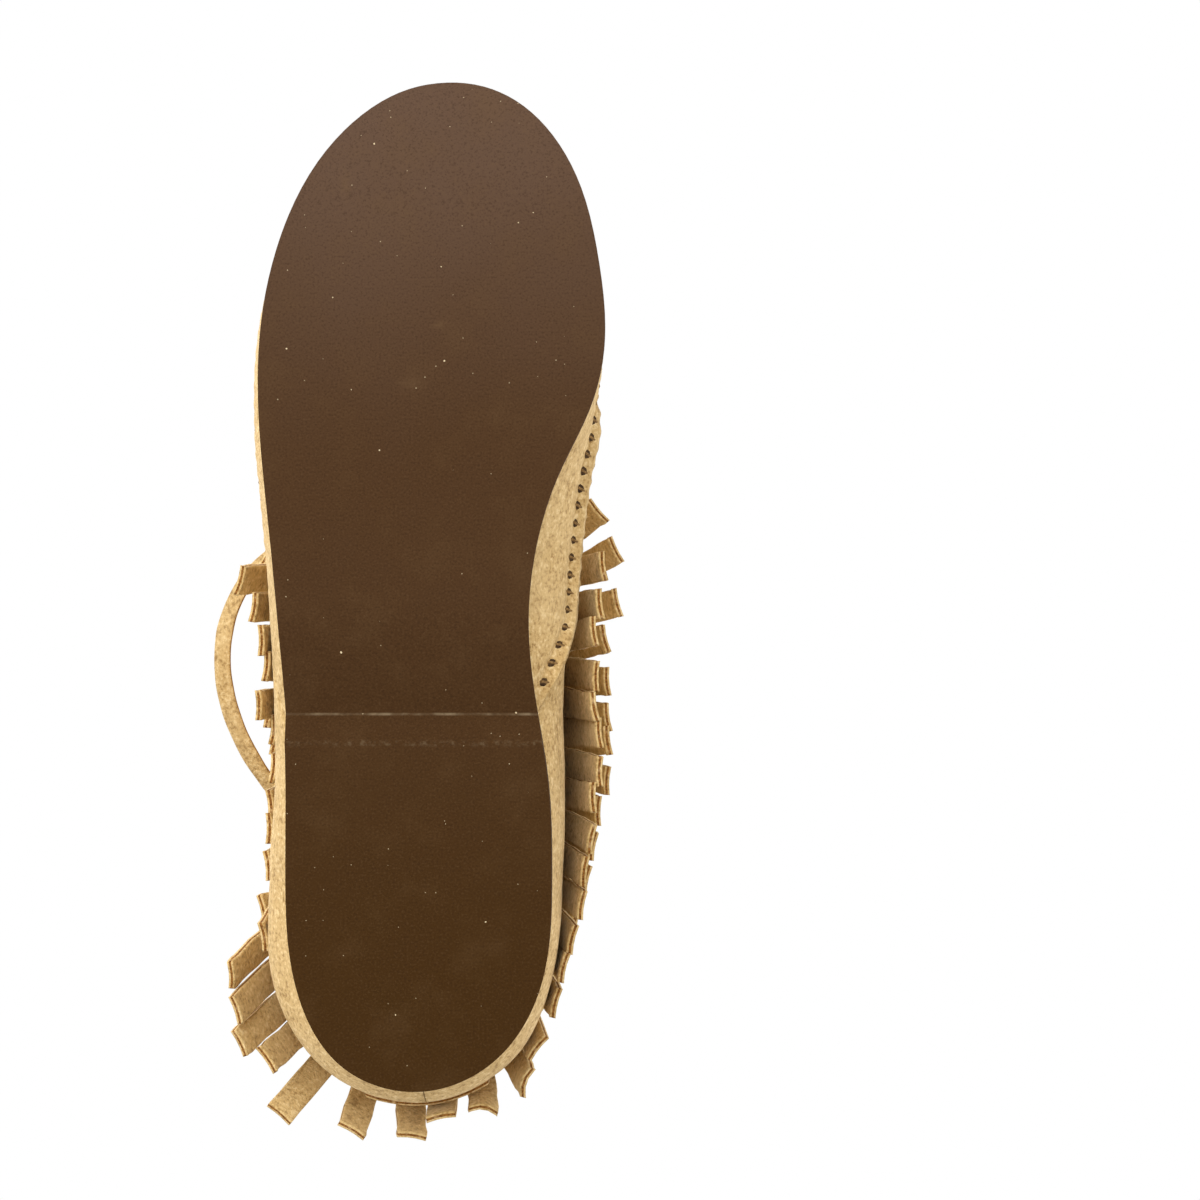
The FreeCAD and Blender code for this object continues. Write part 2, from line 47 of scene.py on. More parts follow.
shoeBody = "shoe"


# camera: straight up at the tread, toe at the top of the picture

cameraView = {"across": 0.0444, "along": 0.0037, "below": 0.70, "lens": 81.8}


def makeCamera():
    data = bpy.data.cameras.new("camera")
    data.lens = cameraView["lens"]
    camera = bpy.data.objects.new("camera", data)
    camera.location = (cameraView["across"], cameraView["along"], -cameraView["below"])
    camera.rotation_euler = (math.pi, 0, 0)
    bpy.context.collection.objects.link(camera)
    bpy.context.scene.camera = camera
    bpy.context.scene.view_settings.view_transform = "Standard"


makeCamera()


# the form of the upper, the same one that the solids are made on, in metres

form = {
    "soleLength": 0.260, "outsole": 0.0035, "toeSpring": 0.0045, "springReach": 0.040, "liftHeight": 0.006,
    "liftReach": 0.0895, "waistRun": 0.036, "seatInset": 0.001, "seam": 0.027, "collar": 0.108,
    "collarLong": 0.0665, "collarWide": 0.033, "collarMiddle": 0.0545, "collarAcross": -0.003,
    "suede": 0.002, "gap": 0.0004, "throat": 0.058, "lowerBand": 0.070, "upperBand": 0.099,
    "bandHeight": 0.0085,
}
# round the sole from the toe by the inner side: across, along, bulge of the upper, turn round the collar
stations = [
    (5.0, -130.0, 0.5, 0), (25.0, -123.5, 0.3, 8), (38.5, -105.0, 0.0, 17), (44.2, -83.0, -0.3, 26),
    (45.6, -62.0, -0.2, 35), (42.0, -46.0, 1.5, 44), (34.0, -29.0, 6.0, 53), (28.0, -10.0, 9.5, 63),
    (26.0, 9.0, 10.0, 74), (27.8, 30.0, 7.0, 88), (31.0, 50.0, 4.0, 103), (32.0, 76.0, 2.5, 121),
    (29.5, 102.0, 3.0, 140), (18.0, 121.5, 5.5, 160), (-2.0, 130.0, 7.5, 180), (-22.0, 123.5, 8.5, 200),
    (-33.5, 104.0, 9.0, 220), (-36.4, 76.0, 7.0, 240), (-36.4, 48.0, 6.0, 258), (-37.8, 18.0, 5.0, 276),
    (-40.4, -12.0, 4.6, 292), (-43.2, -42.0, 4.4, 307), (-42.6, -68.0, 3.6, 319), (-36.8, -92.0, 2.5, 329),
    (-26.0, -112.0, 1.5, 339), (-11.0, -125.5, 0.8, 350),
]
count = len(stations)
heel = 14.0


def stationRow(index):
    across, along, bulge, turn = stations[index % count]
    return across * mm, along * mm, bulge * mm, turn + 360.0 * (index // count)


stationRows = [stationRow(index) for index in range(-2, count + 3)]


def smooth(rows, share):       # a curve through the second and third of four rows
    values = []
    for a, b, c, d in zip(*rows):
        linear = (c - a) * share
        square = (2 * a - 5 * b + 4 * c - d) * share ** 2
        cube = (3 * b - a - 3 * c + d) * share ** 3
        values.append(b + (linear + square + cube) / 2)
    return values


def station(place):
    place = place % count
    first = int(place)
    return smooth(stationRows[first + 1:first + 5], place - first)


def soleNormal(place):
    ahead, behind = station(place + 0.05), station(place - 0.05)
    return Vector((ahead[1] - behind[1], behind[0] - ahead[0], 0)).normalized()


def ground(along):
    half = form["soleLength"] / 2
    front = form["springReach"] - half
    back = half - form["liftReach"]
    rise = back - form["waistRun"]
    if along < front:
        return form["toeSpring"] * ((front - along) / form["springReach"]) ** 2
    if along > back:
        return form["liftHeight"]
    if along > rise:
        share = (along - rise) / form["waistRun"]
        return form["liftHeight"] * share * share * (3 - 2 * share)
    return 0.0


def seatAt(place):
    return ground(station(place)[1]) + form["outsole"] + 0.15 * mm


def fromToe(place):
    place = place % count
    return place if place < heel else (count - place) * 8.3 / 7.0


def collarLine(turn):
    angle = math.radians(turn)
    power = 0.78 if math.cos(angle) > 0 else 1.0
    reach = math.copysign(abs(math.sin(angle)) ** power, math.sin(angle))
    return Vector((form["collarAcross"] + form["collarWide"] * reach,
                   form["collarMiddle"] - form["collarLong"] * math.cos(angle), 0))


def formPoint(place, height):
    across, along, bulge, turn = station(place)
    low = ground(along) + form["outsole"]
    lift = min(max((height - low) / (form["seam"] - low), 0.0), 1.0)
    bulged = -form["seatInset"] + (bulge + form["seatInset"]) * math.sin(lift * math.pi / 2)
    foot = Vector((across, along, 0)) + soleNormal(place) * bulged
    up = min(max((height - form["seam"]) / (form["collar"] - form["seam"]), 0.0), 1.0)
    front = min(max((10.0 - fromToe(place)) / 2, 0.0), 1.0)
    share = front * (1 - (1 - up) ** 2) + (1 - front) * math.sin(up * math.pi / 2) ** 2
    point = foot * (1 - share) + collarLine(turn) * share
    point.z = height
    return point


def skinFrame(place, height):      # the point and the outward direction there
    step = 0.4 * mm if height >= form["seam"] else -0.4 * mm
    here = formPoint(place, height)
    ahead = formPoint(place + 0.04, height) - formPoint(place - 0.04, height)
    upward = (formPoint(place, height + step) - here) * math.copysign(1, step)
    return here, ahead.cross(upward).normalized()


def skin(place, height, depth):
    here, outward = skinFrame(place, height)
    return here + outward * depth


def jointLine(place):              # height of the quarters' lower edge in front
    throat = form["throat"]
    drops = [1, 0, 1.5, 7, 14, 21]
    knots = [throat - drop * mm for drop in drops] + [30 * mm, 12 * mm, -8 * mm, -30 * mm]
    share = min(fromToe(place) / 1.5, 6.99)
    first = int(share)
    return smooth([(knot,) for knot in knots[first:first + 4]], share - first)[0]


def spread(start, end, step):
    steps = max(int(round(abs(end - start) / step)), 2)
    return [start + (end - start) * index / steps for index in range(steps + 1)]


def paced(start, end, height, pitch, depth=0.0):     # places a pitch apart along the form
    found, place, travelled = [], start, pitch
    here = skin(place, height, depth)
    while place < end:
        there = skin(place, height, depth)
        travelled += (there - here).length
        here = there
        if travelled >= pitch:
            travelled -= pitch
            found.append(place)
        place += 0.01
    return found


def wobble(point, scale, seed=0.0):
    return noise.noise(point * scale + Vector((seed, seed * 1.7, -seed)))


# shader arithmetic: a socket that can be added, multiplied and compared

class Wire:
    def __init__(self, maker, socket):
        self.maker = maker
        self.socket = socket

    def maths(self, operation, first, second):
        return self.maker.node("ShaderNodeMath", {"operation": operation}, {0: first, 1: second})

    def __add__(self, other):
        return self.maths("ADD", self, other)

    def __sub__(self, other):
        return self.maths("SUBTRACT", self, other)

    def __rsub__(self, other):
        return self.maths("SUBTRACT", other, self)

    def __mul__(self, other):
        return self.maths("MULTIPLY", self, other)

    def __lt__(self, other):
        return self.maths("LESS_THAN", self, other)

    def __gt__(self, other):
        return self.maths("GREATER_THAN", self, other)

    def __abs__(self):
        return self.maker.node("ShaderNodeMath", {"operation": "ABSOLUTE"}, {0: self})

    __radd__ = __add__
    __rmul__ = __mul__


class Maker:
    def __init__(self, name):
        self.material = bpy.data.materials.new(name)
        self.material.use_nodes = True
        self.tree = self.material.node_tree
        self.shader = self.tree.nodes["Principled BSDF"]

    def node(self, kind, settings=None, inputs=None, output=0):
        made = self.tree.nodes.new(kind)
        for name, value in (settings or {}).items():
            setattr(made, name, value)
        for name, value in (inputs or {}).items():
            self.plug(made.inputs[name], value)
        return Wire(self, made.outputs[output])

    def plug(self, target, value):
        if isinstance(value, Wire):
            self.tree.links.new(value.socket, target)
        else:
            target.default_value = value

    def place(self, stretch=(1, 1, 1)):
        where = self.node("ShaderNodeTexCoord", output=3)
        return self.node("ShaderNodeVectorMath", {"operation": "MULTIPLY"}, {0: where, 1: stretch})

    def grain(self, where, scale, detail=2.0, rough=0.5):
        return self.node("ShaderNodeTexNoise", {}, {"Vector": where, "Scale": scale, "Detail": detail,
                                                    "Roughness": rough})

    def ramp(self, value, low, high):          # 0 to 1 as value goes from low to high
        return self.node("ShaderNodeMapRange", {"interpolation_type": "SMOOTHSTEP"},
                         {0: value, 1: low, 2: high})

    def blend(self, factor, first, second):
        made = self.tree.nodes.new("ShaderNodeMix")
        made.data_type = "RGBA"
        for index, value in ((0, factor), (6, first), (7, second)):
            self.plug(made.inputs[index], value)
        return Wire(self, made.outputs[2])

    def bump(self, height, distance, strength=1.0):
        return self.node("ShaderNodeBump", {}, {"Height": height, "Distance": distance, "Strength": strength})

    def set(self, **values):
        for name, value in values.items():
            self.plug(self.shader.inputs[name.replace("_", " ")], value)
        return self.material


def srgb(red, green, blue):
    linear = [((v / 255 + 0.055) / 1.055) ** 2.4 if v > 10 else v / 3295 for v in (red, green, blue)]
    return (*linear, 1.0)


suedeLook = {
    "pale": srgb(222, 194, 144), "middle": srgb(194, 161, 107), "dark": srgb(146, 112, 64),
    "napScale": 900, "tuftScale": 330, "moodScale": 55, "rough": 0.94, "napDepth": 0.0007,
}


def suede(name, tone=1.0, look=suedeLook):
    maker = Maker(name)
    where = maker.place()
    bent = maker.grain(where, 130, 2.0)
    nap = maker.grain(where, look["napScale"], 3.0, 0.62)
    tuft = maker.grain(where, look["tuftScale"], 3.0, 0.6)
    fibre = maker.grain(maker.place((1.0, 0.45, 0.7)), look["napScale"] * 2.0, 2.0, 0.55)
    mood = maker.grain(where, look["moodScale"], 3.0, 0.55)
    shade = []
    for key in ("dark", "middle", "pale"):
        shade.append(tuple(channel * tone for channel in look[key][:3]) + (1.0,))
    pile = nap * 0.5 + tuft * 0.3 + fibre * 0.2
    tint = maker.blend(maker.ramp(pile, 0.38, 0.50), shade[0], shade[1])
    tint = maker.blend(maker.ramp(pile, 0.50, 0.62), tint, shade[2])
    tint = maker.blend(maker.ramp(mood, 0.35, 0.7) * 0.26, tint, shade[2])
    tint = maker.blend(maker.ramp(bent, 0.55, 0.75) * 0.22, tint, shade[0])
    normal = maker.bump(pile + bent * 0.25, look["napDepth"], 1.0)
    return maker.set(Base_Color=tint, Roughness=maker.ramp(mood, 0.3, 0.7) * 0.04 + look["rough"],
                     Normal=normal, Sheen_Weight=0.4, Sheen_Roughness=0.45,
                     Sheen_Tint=srgb(240, 220, 180), Specular_IOR_Level=0.12)


coreLook = {"pale": srgb(156, 108, 54), "dark": srgb(96, 58, 24)}
# painted light: the fringe and its bands are painted a little paler than the upper's suede, though they are
# the same hide, to stand in for light their shaded faces miss
fringePaintedLight = {
    **suedeLook, "pale": srgb(227, 200, 148), "middle": srgb(201, 169, 112), "dark": srgb(152, 119, 68),
}


def suedeCore():          # the split edge of the hide, more orange than its nap
    maker = Maker("suedeCore")
    fibre = maker.grain(maker.place((1.0, 1.0, 0.4)), 2100, 3.0, 0.65)
    patch = maker.grain(maker.place(), 420, 2.0)
    tint = maker.blend(maker.ramp(fibre, 0.35, 0.65), coreLook["dark"], coreLook["pale"])
    tint = maker.blend(maker.ramp(patch, 0.55, 0.75) * 0.5, tint, suedeLook["pale"])
    return maker.set(Base_Color=tint, Roughness=0.95, Normal=maker.bump(fibre, 0.0003),
                     Specular_IOR_Level=0.1)


# toe, waist and heel are painted light: one rubber painted lighter and greyer at the toe, as if lit, and
# darker at the heel, as if in shade
rubberLook = {
    "toe": srgb(82, 62, 48), "waist": srgb(63, 41, 20), "heel": srgb(55, 33, 4),
    "dust": srgb(205, 186, 150), "scuff": srgb(92, 70, 46), "grainPitShade": srgb(36, 20, 6),
    "grainScale": 1700, "crumbs": [(75, 0.034, 0.40), (170, 0.062, 0.55), (420, 0.105, 0.76)],
    "scuffs": [((-21.0, -103.0, 0.0), 4.0, 9.0), ((3.0, -67.0, 0.0), 5.0, 3.0),
               ((-4.0, -52.0, 0.0), 9.0, 5.0)],
    "crease": 0.0332, "ridge": 0.0405,
}


def rubber(name, worn):
    maker = Maker(name)
    where = maker.place()
    along = maker.node("ShaderNodeSeparateXYZ", {}, {0: where}, 1)
    # painted light: the rubber grows lighter towards the toe and darker towards the heel
    toe = maker.ramp(along + maker.grain(where, 14, 2.0) * 0.05, 0.01, -0.12)
    back = maker.ramp(along, -0.02, 0.11)
    tint = maker.blend(toe, rubberLook["waist"], rubberLook["toe"])
    tint = maker.blend(back, tint, rubberLook["heel"])
    cloud = maker.grain(where, 60, 4.0, 0.6)
    pebble = maker.grain(where, rubberLook["grainScale"], 4.0, 0.65)
    tint = maker.blend(maker.ramp(cloud, 0.45, 0.75) * 0.16, tint, rubberLook["scuff"])
    tint = maker.blend(maker.ramp(pebble, 0.52, 0.66) * 0.20, tint, rubberLook["scuff"])
    # painted shade: the pits of the pebble grain painted darker
    tint = maker.blend(maker.ramp(pebble, 0.48, 0.36) * 0.35, tint, rubberLook["grainPitShade"])
    for middle, wide, long in rubberLook["scuffs"]:
        offset = maker.node("ShaderNodeVectorMath", {"operation": "SUBTRACT"},
                            {0: where, 1: tuple(v * mm for v in middle)})
        offset = maker.node("ShaderNodeVectorMath", {"operation": "DIVIDE"},
                            {0: offset, 1: (wide * mm, long * mm, 1.0)})
        reach = maker.node("ShaderNodeVectorMath", {"operation": "LENGTH"}, {0: offset}, 1)
        mark = maker.ramp(reach + maker.grain(where, 700, 4.0, 0.7) * 1.1, 1.15, 0.35)
        tint = maker.blend(mark * 0.34, tint, rubberLook["scuff"])
    crumbs = []
    for scale, size, keep in rubberLook["crumbs"]:
        bent = maker.node("ShaderNodeVectorMath", {"operation": "ADD"},
                          {0: where, 1: (scale * 0.01, 0, 0)})
        cell = maker.node("ShaderNodeTexVoronoi", {}, {"Vector": bent, "Scale": scale})
        pick = maker.node("ShaderNodeTexVoronoi", {}, {"Vector": bent, "Scale": scale}, 1)
        lot = maker.node("ShaderNodeSeparateXYZ", {}, {0: pick})
        ragged = cell + maker.grain(where, 1900, 2.0) * size * 0.8
        crumbs.append((ragged < size) * (lot > keep))
    dust = crumbs[0] + crumbs[1] * 0.8 + crumbs[2] * 0.45
    if worn:
        ridge = maker.ramp(abs(along - rubberLook["ridge"]), 0.0012, 0.0002)
        dust = dust + ridge * maker.ramp(maker.grain(where, 520, 4.0, 0.7), 0.45, 0.75) * 0.08
    crease = maker.ramp(abs(along - rubberLook["crease"]), 0.0005, 0.0001)
    dust = dust + crease * (maker.ramp(maker.grain(where, 160, 3.0, 0.6), 0.4, 0.65) * 0.16 + 0.03)
    tint = maker.blend(dust, tint, rubberLook["dust"])
    rough = maker.ramp(cloud, 0.3, 0.7) * 0.12 + 0.66
    normal = maker.bump(pebble + cloud * 0.6, 0.00022, 0.8)
    return maker.set(Base_Color=tint, Roughness=rough, Normal=normal, Specular_IOR_Level=0.08)


def plain(name, pale, dark, scale, rough, depth, stretch=(1, 1, 1)):   # a fibrous or waxed surface
    maker = Maker(name)
    fine = maker.grain(maker.place(stretch), scale, 3.0, 0.6)
    tint = maker.blend(maker.ramp(fine, 0.35, 0.65), dark, pale)
    return maker.set(Base_Color=tint, Roughness=rough, Normal=maker.bump(fine, depth),
                     Specular_IOR_Level=0.2)


upperSuede = suede("upperSuede")
# the fringe's suede carries painted light: paler than the upper's
fringeSuede = suede("fringeSuede", 1.0, fringePaintedLight)
thongSuede = suede("thongSuede", 0.9)
insideSuede = suede("insideSuede", 0.88)
coreSuede = suedeCore()
soleRubber = rubber("soleRubber", False)
liftRubber = rubber("liftRubber", True)
# painted shade: a dark colour for solid pieces set in the stitch holes, where the holes lie in shadow
holeShade = plain("holeShade", srgb(84, 62, 38), srgb(52, 36, 20), 1500, 0.95, 0.0002)
# painted shade: the thong stitches are painted darker brown than the thong's own suede, for the shade of the
# pucker valleys they sit in
shadedStitchSuede = plain("shadedStitchSuede", srgb(150, 118, 74), srgb(104, 76, 42), 1600, 0.9, 0.0002)
threadWax = plain("threadWax", srgb(196, 168, 122), srgb(150, 120, 78), 2600, 0.6, 0.0001, (1, 1, 0.3))
boardFibre = plain("boardFibre", srgb(190, 168, 136), srgb(160, 136, 104), 900, 0.9, 0.0001)
print("materials made")


# building suede: a sheet with two napped faces and a split edge between them

def weld(name, points, faces, kinds, materials, level=0):
    mesh = bpy.data.meshes.new(name)
    mesh.from_pydata(points, [], faces)
    for material in materials:
        mesh.materials.append(material)
    mesh.polygons.foreach_set("material_index", kinds)
    work = bmesh.new()
    work.from_mesh(mesh)
    bmesh.ops.recalc_face_normals(work, faces=work.faces)
    work.to_mesh(mesh)
    work.free()
    mesh.polygons.foreach_set("use_smooth", [True] * len(mesh.polygons))
    piece = bpy.data.objects.new(name, mesh)
    bpy.context.collection.objects.link(piece)
    if level:
        rounder = piece.modifiers.new("rounder", "SUBSURF")
        rounder.levels = rounder.render_levels = level
    return piece


def sheetParts(outer, inner, start=0):       # vertices, faces and face kinds of one sheet of suede
    columns, rows = len(outer), len(outer[0])
    points, faces, kinds = [], [], []
    for grid in (outer, inner):
        for column in grid:
            points += column
    face = columns * rows

    def at(layer, i, j):
        return start + layer * face + i * rows + j

    for i in range(columns - 1):
        for j in range(rows - 1):
            faces.append((at(0, i, j), at(0, i + 1, j), at(0, i + 1, j + 1), at(0, i, j + 1)))
            faces.append((at(1, i, j + 1), at(1, i + 1, j + 1), at(1, i + 1, j), at(1, i, j)))
            kinds += [0, 0]
    rim = [(i, 0) for i in range(columns)] + [(columns - 1, j) for j in range(1, rows)]
    rim += [(i, rows - 1) for i in range(columns - 2, -1, -1)] + [(0, j) for j in range(rows - 2, 0, -1)]
    rings = [[at(0, i, j) for i, j in rim]]
    for share in (0.3, 0.68):
        ring = []
        for i, j in rim:
            ring.append(start + len(points))
            points.append(outer[i][j].lerp(inner[i][j], share))
        rings.append(ring)
    rings.append([at(1, i, j) for i, j in rim])
    for number, (first, second) in enumerate(zip(rings, rings[1:])):
        for k in range(len(rim)):
            following = (k + 1) % len(rim)
            faces.append((first[k], second[k], second[following], first[following]))
            kinds.append(1 if number == 1 else 0)
    return points, faces, kinds


def sheetPiece(name, grids, materials, level=0):        # one object from several sheets
    points, faces, kinds = [], [], []
    for outer, inner in grids:
        more = sheetParts(outer, inner, len(points))
        points += more[0]
        faces += more[1]
        kinds += more[2]
    return weld(name, points, faces, kinds, materials, level)


def panelGrids(places, low, high, outside, thick, rows, relief=None):
    outer, inner = [], []
    for place in places:
        foot, top = low(place), high(place)
        outerColumn, innerColumn = [], []
        for row in range(rows + 1):
            share = row / rows
            height = foot + (top - foot) * share
            here, outward = skinFrame(place, height)
            lift = outside(place, height) if callable(outside) else outside
            lift += 0.25 * mm * wobble(here, 60, 3.0) + 0.11 * mm * wobble(here, 800, 6.0)
            if relief:
                lift += relief(place, height, share)
            outerColumn.append(here + outward * lift)
            innerColumn.append(here + outward * (lift - thick))
        outer.append(outerColumn)
        inner.append(innerColumn)
    return outer, inner


def finishPiece(piece, nodes=(), body=shoeBody):
    if body:
        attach(piece, body)
    if nodes:
        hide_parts(*nodes)


def ribbon(points, sides, width, thick, seed=0.0, taper=0.0):     # a flat thong along a line of points
    outer, inner = [], []
    for index, point in enumerate(points):
        before, after = points[max(index - 1, 0)], points[min(index + 1, len(points) - 1)]
        ahead = (after - before).normalized()
        wanted = sides(index / (len(points) - 1))
        side = (wanted - ahead * wanted.dot(ahead)).normalized()
        face = ahead.cross(side)
        wide = width / 2 * (1 + 0.07 * wobble(point, 160, seed))
        if taper:
            wide *= 1 - taper * (index / (len(points) - 1)) ** 6
        row = [point + side * wide * x for x in (-1, -0.45, 0.45, 1)]
        crown = [0.32, 0.5, 0.5, 0.32]
        outer.append([p + face * thick * c for p, c in zip(row, crown)])
        inner.append([p - face * thick * c for p, c in zip(row, crown)])
    return outer, inner


def splinePoints(name, route):       # the smooth line that a cord's chosen points give
    data = bpy.data.curves.new(name, "CURVE")
    data.dimensions = "3D"
    data.resolution_u = 12
    spline = data.splines.new("NURBS")
    spline.points.add(len(route) - 1)
    for point, where in zip(spline.points, route):
        point.co = (*[v * mm for v in where], 1.0)
    spline.order_u = 3
    spline.use_endpoint_u = True
    line = bpy.data.objects.new(name, data)
    mesh = bpy.data.meshes.new_from_object(line)
    points = [vertex.co.copy() for vertex in mesh.vertices]
    bpy.data.objects.remove(line)
    bpy.data.meshes.remove(mesh)
    return points


def lineLength(points):
    return sum((b - a).length for a, b in zip(points, points[1:]))


# the thong: a slack stretch on the outer side and two tied ends, all one lace

thong = {
    "width": 5.2 * mm, "thick": 1.7 * mm,
    "loop": [(-9.0, -18.5, 101.0), (-24.0, -20.5, 98.5), (-41.5, -16.5, 94.0), (-56.0, -6.0, 90.0),
             (-63.5, 8.0, 87.5), (-65.0, 22.5, 86.5), (-62.5, 36.5, 87.5), (-57.0, 49.5, 91.0),
             (-50.5, 59.5, 96.0), (-43.6, 67.5, 100.5), (-39.3, 76.2, 103.2)],
    "outerTail": [(-7.0, -22.0, 97.0), (-10.5, -29.0, 90.5), (-17.0, -37.0, 83.0), (-26.0, -45.5, 73.5),
                  (-35.0, -52.0, 61.5), (-42.5, -57.0, 49.0)],
    "innerTail": [(1.0, -22.0, 97.0), (4.5, -30.0, 91.0), (8.0, -41.0, 82.0), (14.5, -53.0, 73.0),
                  (24.5, -64.0, 63.5), (35.0, -72.5, 51.5)],
    "knot": (-3.0, -18.5, 101.0),
}


def makeCords():
    def loopSide(share):
        angle = math.radians(20 + 60 * math.sin(share * math.pi))
        return Vector((-math.cos(angle) * 0.3 - 0.6, -0.25 + 0.5 * share, 0.45 + 0.25 * math.cos(share * 5)))

    def tailSide(share):
        return Vector((1, 0.4, 0.25 * math.sin(share * 4)))

    def innerSide(share):
        return Vector((1, -0.5, 0.1))

    for name, key, node, side, far, lay in (
        ("thongLoop", "loop", "thong_loop", loopSide, "object", "loose"),
        ("thongOuterTail", "outerTail", "thong_tail_outer", tailSide, "bare", "hanging"),
        ("thongInnerTail", "innerTail", "thong_tail_inner", innerSide, "bare", "hanging"),
    ):
        points = splinePoints(name + "Line", thong[key])
        taper = 0.0 if far == "object" else 0.35
        piece = sheetPiece(name, [ribbon(points, side, thong["width"], thong["thick"], 5.0, taper)],
                           [thongSuede, coreSuede], 1)
        finishPiece(piece, [node])
    print("thong laid", round(lineLength(points), 4))


makeCords()


# stitching: little bars of thread or thong, all of one row or group in one object

def barParts(middle, along, outward, length, width, thick, points, faces, kinds):
    side = outward.cross(along).normalized()
    rings = []
    for share, size in ((-0.5, 0.45), (-0.4, 0.9), (0.0, 1.0), (0.4, 0.9), (0.5, 0.45)):
        sink = thick * 0.45 * (abs(share) * 2) ** 3
        ring = []
        for step in range(8):
            angle = step * math.pi / 4
            ring.append(len(points))
            points.append(middle + along * length * share + side * width / 2 * size * math.cos(angle)
                          + outward * (thick / 2 * size * math.sin(angle) - sink))
        rings.append(ring)
    for first, second in zip(rings, rings[1:]):
        for step in range(8):
            following = (step + 1) % 8
            faces.append((first[step], first[following], second[following], second[step]))
            kinds.append(0)
    faces.append(tuple(reversed(rings[0])))
    faces.append(tuple(rings[-1]))
    kinds += [0, 0]


def barPiece(name, bars, material):
    points, faces, kinds = [], [], []
    for bar in bars:
        barParts(*bar, points, faces, kinds)
    return weld(name, points, faces, kinds, [material])


def seamFrame(place, height, depth):      # a point, the way along the seam, up the upper and out of it
    here, outward = skinFrame(place, height)
    above = (formPoint(place, height + 0.5 * mm) - formPoint(place, height - 0.5 * mm)).normalized()
    ahead = (formPoint(place + 0.04, height) - formPoint(place - 0.04, height)).normalized()
    return here + outward * depth, ahead, above, outward


def stitchRow(start, end, height, depth, pitch, length=2.6 * mm, width=0.6 * mm):
    bars = []
    for place in paced(start, end, height, pitch, depth):
        middle, ahead, above, outward = seamFrame(place, height, depth + 0.15 * mm)
        bars.append((middle, ahead, outward, length, width, width * 0.8))
    return bars


# the wall, the plug and the laced seam between them

seamLook = {
    "pitch": 4.6 * mm, "start": -6.7, "end": 8.9, "lip": 2.4 * mm, "tuck": 2.0 * mm, "pleat": 0.8 * mm,
    "pleatFade": 7 * mm, "stitchLong": 4.4 * mm, "stitchWide": 1.5 * mm, "stitchThick": 1.2 * mm,
    "wallThick": 2.0 * mm, "slot": 2.1 * mm, "lap": 4 * mm, "lapUnder": 2.3 * mm, "lapStep": 1.6 * mm,
    "archCrease": 2.3 * mm, "archBar": (4.2 * mm, 0.8 * mm, 0.9 * mm),
    "archHoleShade": (4.4 * mm, 2.5 * mm, 0.75 * mm),
}


def easing(value):
    value = min(max(value, 0.0), 1.0)
    return value * value * (3 - 2 * value)


def wallTop(place):
    return min(form["seam"] - form["suede"] - form["gap"], jointLine(place) - form["gap"])


def quarterFoot(place):
    return max(jointLine(place) + form["gap"], seatAt(place))


def plugTop(place):
    return jointLine(place) - form["gap"]


def plugLap(place):              # 1 where the plug runs on under the quarters
    return easing((abs(place) - 2.9) / 0.3) * easing((jointLine(place) - form["seam"] - 5 * mm) / (4 * mm))


def arch(place):                 # 1 along the arch of the foot, where the laced edges turn outward
    return easing((place - 4.3) / 1.1) * easing((9.3 - place) / 0.7)


stitchPlaces = paced(seamLook["start"], seamLook["end"], 22.4 * mm, seamLook["pitch"])


def pleatWave(place):            # 1 between stitches, 0 at each stitch
    if place <= stitchPlaces[0] or place >= stitchPlaces[-1]:
        return 0.5
    for before, after in zip(stitchPlaces, stitchPlaces[1:]):
        if place <= after:
            return 0.5 - 0.5 * math.cos(2 * math.pi * (place - before) / (after - before))
    return 0.5


def fade(place):                 # the pleats die away at both ends of the seam
    inside = min(place - stitchPlaces[0], stitchPlaces[-1] - place)
    return min(max(inside / 0.6, 0.0), 1.0)


def edgeLift(place, away):       # how far the laced edge of the wall or the plug stands off the form
    crease = 0.35 * mm * math.exp(-((away - 3.4 * mm) / (1.3 * mm)) ** 2)
    turned = seamLook["lip"] * easing(1 - away / (2.7 * mm)) - crease
    tucked = -seamLook["tuck"] * easing(1 - away / (7 * mm))
    return arch(place) * turned + (1 - arch(place)) * tucked * fade(place)


